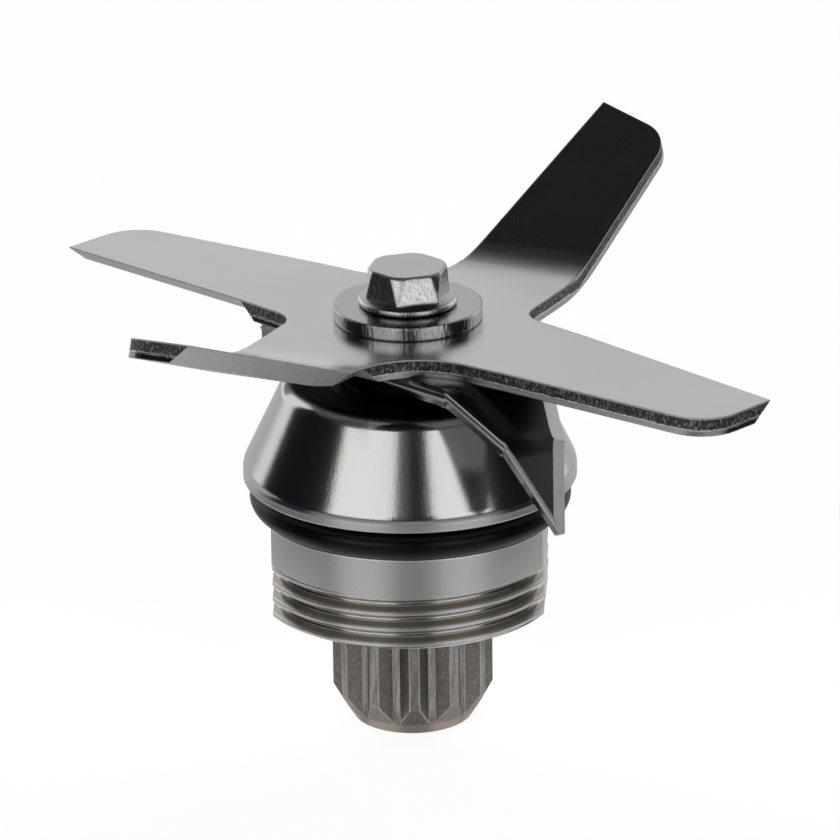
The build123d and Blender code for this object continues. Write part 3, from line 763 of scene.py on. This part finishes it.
class BLADES_OT_thread(bpy.types.Operator):
    """Cuts the retaining thread in a ring on the housing's plain core"""

    bl_idname = "blades.thread"
    bl_label = "Retaining thread"

    def plate(self, inner, outer, bottom, top):
        """A flat plate stood on edge over the X axis, left in edit mode."""
        start_fresh()
        middle = ((inner + outer) / 2, 0.0, (bottom + top) / 2)
        bpy.ops.mesh.primitive_plane_add(size=1.0, location=middle, rotation=(math.pi / 2, 0.0, 0.0))
        plate = bpy.context.object
        plate.scale = (outer - inner, top - bottom, 1.0)
        bake_place()
        bpy.ops.object.mode_set(mode="EDIT")
        return plate

    def wind(self, piece, steps, turns=1, rise=0.0):
        """Leaves the outline of a plate and winds it round the axis into a closed solid."""
        bpy.ops.mesh.select_all(action="SELECT")
        bpy.ops.mesh.delete(type="ONLY_FACE")
        bpy.ops.object.mode_set(mode="OBJECT")
        winding = piece.modifiers.new("winding", "SCREW")
        winding.angle = math.tau
        winding.screw_offset = rise
        winding.iterations = turns
        winding.steps = steps
        winding.render_steps = steps
        winding.use_merge_vertices = True
        winding.merge_threshold = WELD
        bpy.ops.object.modifier_apply(modifier=winding.name)
        bpy.ops.object.mode_set(mode="EDIT")
        bpy.ops.mesh.select_all(action="SELECT")
        if rise:
            bpy.ops.mesh.fill_holes(sides=0)
            bpy.ops.mesh.select_all(action="SELECT")
        bpy.ops.mesh.normals_make_consistent(inside=False)
        bpy.ops.object.mode_set(mode="OBJECT")

    def cut(self, piece, tool, operation):
        """Cuts a piece with a tool, which is then removed."""
        start_fresh()
        piece.select_set(True)
        bpy.context.view_layer.objects.active = piece
        cutting = piece.modifiers.new("cutting", "BOOLEAN")
        cutting.operation = operation
        cutting.solver = "EXACT"
        cutting.object = tool
        bpy.ops.object.modifier_apply(modifier=cutting.name)
        bpy.data.objects.remove(tool)

    def execute(self, context):
        sizes = context.scene.blade_thread
        bottom = level("bearing_housing", 0)

        # The blank: a ring with its lower corner cut off as a lead-in
        ring = self.plate(sizes.bore, sizes.crest, bottom, bottom + sizes.length)
        bpy.ops.mesh.select_all(action="SELECT")
        bpy.ops.mesh.bisect(
            plane_co=(sizes.crest, 0.0, bottom + sizes.lead_in),
            plane_no=(sizes.lead_in, 0.0, -sizes.lead_step),
            clear_outer=True,
        )
        self.wind(ring, RING_STEPS)

        # Both flats: what stays is inside a block that is longer than the ring in the other directions
        start_fresh()
        bpy.ops.mesh.primitive_cube_add(size=1.0, location=(0.0, 0.0, bottom))
        flats = context.object
        flats.scale = (2 * sizes.flat, 4 * sizes.crest, 4 * sizes.length)
        bake_place()
        self.cut(ring, flats, "INTERSECT")

        # The groove: a plate brought to a point at the root, rounded there, and wound up the axis.
        # It reaches out past the crests and starts between two of them, below the ring.
        outer = sizes.crest + GROOVE_OVERSHOOT
        slope = math.tan(sizes.flank)
        mouth = (sizes.pitch - sizes.land) / 2 + slope * (outer - sizes.crest)
        point = outer - mouth / slope
        middle = sizes.start - GROOVE_START * sizes.pitch
        groove = self.plate(point, outer, middle - mouth, middle + mouth)
        pick(lambda spot: spot.x < (point + outer) / 2)
        bpy.ops.mesh.merge(type="CENTER")
        bpy.ops.mesh.bevel(offset=sizes.round / slope, segments=ROOT_SEGMENTS, affect="VERTICES")
        self.wind(groove, GROOVE_STEPS, GROOVE_TURNS, sizes.pitch)
        self.cut(ring, groove, "DIFFERENCE")

        if len(ring.data.polygons) < LEAST_FACES:
            raise RuntimeError("the retaining thread came out empty")
        bpy.ops.object.mode_set(mode="EDIT")
        bpy.ops.mesh.select_all(action="SELECT")
        bpy.ops.mesh.remove_doubles(threshold=WELD)
        bpy.ops.mesh.normals_make_consistent(inside=False)
        bpy.ops.object.mode_set(mode="OBJECT")
        bpy.ops.object.shade_smooth_by_angle(angle=math.radians(SMOOTH_UNDER))
        settle(ring, "housing_thread")
        ring.data.materials.append(bpy.data.materials["housing_turned"])
        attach(ring, "housing")
        return {"FINISHED"}


class BLADES_OT_drive(bpy.types.Operator):
    """Finishes the spindle, its sleeve, the bearings' shields and the splined drive"""

    bl_idname = "blades.drive"
    bl_label = "Spindle and drive"

    def execute(self, context):
        dress(["drive_spline"], sinter_finish("drive_sintered"))
        shields = [place + side + "_shield" for place in ("upper_", "lower_") for side in ("top", "bottom")]
        dress(["spindle", "bearing_spacer"] + shields, spindle_finish("spindle_ground"))
        return {"FINISHED"}


class BLADES_OT_seals(bpy.types.Operator):
    """Finishes the rubber seals, the dark springs and the retaining ring"""

    bl_idname = "blades.seals"
    bl_label = "Seals and springs"

    def execute(self, context):
        dress(["housing_o_ring", "seal_lip", "seal_case"], rubber_finish("seal_rubber"))
        dress(["garter_spring", "preload_spring", "retaining_ring"], spring_finish("spring_dark"))
        return {"FINISHED"}


class BLADES_OT_bearings(bpy.types.Operator):
    """Finishes the rings, balls and cages of both bearings"""

    bl_idname = "blades.bearings"
    bl_label = "Bearings"

    def execute(self, context):
        polished = bearing_finish("bearing_polished")
        nylon = nylon_finish("cage_moulded")
        for place in ("upper_", "lower_"):
            dress([place + "outer_ring", place + "inner_ring"], polished)
            dress([place + "ball_" + str(number) for number in range(1, 8)], polished)
            dress([place + "cage"], nylon)
        return {"FINISHED"}


class BLADES_OT_studio(bpy.types.Operator):
    """Sets the floor, the softboxes, the dark screen and the camera"""

    bl_idname = "blades.studio"
    bl_label = "Studio"

    def sky(self, scene):
        """A white band round the horizon, dark overhead."""
        world = bpy.data.worlds.new("studio_world")
        scene.world = world
        world.use_nodes = True
        nodes = Nodes(world.node_tree, "ShaderNodeOutputWorld")
        lift = nodes.axis(nodes.node("TexCoord", output="Generated"), "Z")
        shade = nodes.mixed(nodes.fade(lift, *SKY_DARKENS), grey(1.0), (0.005, 0.006, 0.008, 1.0))
        nodes.finish(nodes.node("Background", None, {"Color": shade, "Strength": 1.0}))

    def floor_finish(self, settings):
        """White floor. What metal mirrors of it is painted reflection, a glow that only reflections see:
        bright nearby, dim towards the camera and dark far to the sides.

        Two painted sheens on it, one each side of the camera, brighten what the metal mirrors there.
        """
        material, nodes = new_finish("studio_white")
        place = nodes.place()
        mirrored = nodes.node("LightPath", output="Is Glossy Ray")
        seen = nodes.node("LightPath", output="Is Camera Ray")
        seen = seen.most(nodes.node("LightPath", output="Is Transmission Ray"))
        radius = nodes.from_axis(place)
        depth = nodes.axis(place, "Y")
        around = nodes.around_axis(place)
        sheen = nodes.band(around, *LEFT_SHEEN, 0.15) + nodes.band(around, *RIGHT_SHEEN, 0.15)
        sheen = sheen * nodes.fade(radius, *SHEEN_RADIUS)
        near = nodes.fade(radius, *NEAR_RADIUS) * nodes.fade(depth, *NEAR_DEPTH)
        ahead = nodes.fade((0 - depth) / radius, 0.35, 0.65)
        far = nodes.fade(radius, *FAR_RADIUS) * nodes.fade(depth, *FAR_DEPTH) * (1 - ahead)
        # Painted reflection: how bright the floor looks to reflections, with the two painted sheens
        share = 0.45 - ahead * 0.37 + near * 0.4 + sheen * 0.5

        matt = nodes.node("BsdfDiffuse", None, {"Color": (*settings.floor_colour, 1.0)})
        white = nodes.mixed(seen.most(mirrored * share), grey(0.0), grey(1.0))
        glow = nodes.node("Emission", None, {"Color": white, "Strength": settings.floor_glow})
        table = nodes.node("AddShader", None, {0: matt, 1: glow})
        # Painted reflection: dark far to the sides, seen only in reflections
        dim = nodes.node("Emission", None, {"Color": (0.02, 0.025, 0.03, 1.0), "Strength": 1.0})
        nodes.finish(nodes.node("MixShader", None, {0: mirrored * far, 1: table, 2: dim}))
        return material

    def floor(self, settings):
        """A round floor a hair below the drive's flat end."""
        start_fresh()
        bpy.ops.mesh.primitive_circle_add(
            vertices=128, radius=FLOOR_RADIUS, fill_type="NGON", location=(0.0, 0.0, -FLOOR_DROP)
        )
        floor = bpy.context.object
        settle(floor, "studio_floor")
        floor.data.materials.append(self.floor_finish(settings))

    def screen(self):
        """A dark screen round the front and the sides, out of the camera's sight."""
        start_fresh()
        bpy.ops.mesh.primitive_cylinder_add(
            vertices=72, radius=SCREEN_RADIUS, depth=SCREEN_HEIGHT, end_fill_type="NOTHING",
            location=(0.0, 0.0, SCREEN_HEIGHT / 2),
        )
        screen = bpy.context.object
        bake_place()
        bpy.ops.object.mode_set(mode="EDIT")
        pick(lambda spot: spot.y > SCREEN_RADIUS * math.cos(math.radians(SCREEN_HALF_OPENING)))
        bpy.ops.mesh.delete(type="VERT")
        bpy.ops.object.mode_set(mode="OBJECT")
        settle(screen, "studio_screen")
        material, nodes = new_finish("studio_black")
        nodes.finish(nodes.node("BsdfDiffuse", None, {"Color": (0.024, 0.03, 0.036, 1.0)}))
        screen.data.materials.append(material)
        screen.visible_camera = False

    def softbox(self, scene, name, azimuth, wide, light):
        """A softbox that faces the object, at an azimuth from the front and so many degrees wide."""
        lamp = bpy.data.lights.new(name, "AREA")
        lamp.shape = "RECTANGLE"
        lamp.size = 2 * BOX_DISTANCE * math.tan(math.radians(wide / 2))
        lamp.size_y = 2 * BOX_DISTANCE * math.tan(math.radians(BOX_TALL / 2))
        lamp.energy = light * math.pi * lamp.size * lamp.size_y
        box = bpy.data.objects.new(name, lamp)
        scene.collection.objects.link(box)
        turn = math.radians(azimuth)
        lift = math.radians(BOX_LIFT)
        toward = Vector((math.sin(turn) * math.cos(lift), -math.cos(turn) * math.cos(lift), math.sin(lift)))
        box.location = toward * BOX_DISTANCE + Vector((0.0, 0.0, BOX_AIM))
        box.rotation_euler = toward.to_track_quat("Z", "Y").to_euler()
        box.visible_camera = False

    def camera(self, scene):
        """A camera placed as in the photograph."""
        lens = bpy.data.cameras.new("photo_camera")
        lens.lens = 282.70
        lens.sensor_width = 36.0
        lens.clip_start = 0.01
        camera = bpy.data.objects.new("photo_camera", lens)
        scene.collection.objects.link(camera)
        right = Vector((0.998234, 0.058114, -0.012344))
        upward = Vector((-0.009230, 0.356961, 0.934074))
        backward = Vector((0.058689, -0.932310, 0.356867))
        turn = Matrix((right, upward, backward)).transposed().to_4x4()
        place = Matrix.Translation((0.042741, -0.660936, 0.286969))
        camera.matrix_world = place @ turn
        scene.camera = camera

    def execute(self, context):
        scene = context.scene
        settings = scene.blade_studio
        scene.view_settings.view_transform = "Standard"
        self.sky(scene)
        self.floor(settings)
        self.screen()
        for name, azimuth, wide, share in SOFTBOXES:
            self.softbox(scene, name, azimuth, wide, share * settings.box_light)
        self.camera(scene)
        return {"FINISHED"}


STEPS = (
    BLADES_OT_blades,
    BLADES_OT_fasteners,
    BLADES_OT_housing,
    BLADES_OT_thread,
    BLADES_OT_drive,
    BLADES_OT_seals,
    BLADES_OT_bearings,
    BLADES_OT_studio,
)


class BLADES_PT_panel(bpy.types.Panel):
    """Lists the steps that finish the blade assembly"""

    bl_idname = "BLADES_PT_panel"
    bl_label = "Blade Assembly"
    bl_space_type = "VIEW_3D"
    bl_region_type = "UI"
    bl_category = "Blades"

    def draw(self, context):
        for group in (context.scene.blade_thread, context.scene.blade_colours, context.scene.blade_studio):
            box = self.layout.box()
            for name in group.__annotations__:
                box.prop(group, name)
        for step in STEPS:
            self.layout.operator(step.bl_idname)


CLASSES = (ThreadSizes, FinishColours, StudioSettings) + STEPS + (BLADES_PT_panel,)


def register():
    for item in CLASSES:
        bpy.utils.register_class(item)
    bpy.types.Scene.blade_thread = bpy.props.PointerProperty(type=ThreadSizes)
    bpy.types.Scene.blade_colours = bpy.props.PointerProperty(type=FinishColours)
    bpy.types.Scene.blade_studio = bpy.props.PointerProperty(type=StudioSettings)


def unregister():
    del bpy.types.Scene.blade_studio
    del bpy.types.Scene.blade_colours
    del bpy.types.Scene.blade_thread
    for item in reversed(CLASSES):
        bpy.utils.unregister_class(item)


def main():
    register()
    bpy.ops.blades.blades()
    bpy.ops.blades.fasteners()
    bpy.ops.blades.housing()
    bpy.ops.blades.thread()
    bpy.ops.blades.drive()
    bpy.ops.blades.seals()
    bpy.ops.blades.bearings()
    bpy.ops.blades.studio()


if __name__ == "__main__":
    main()
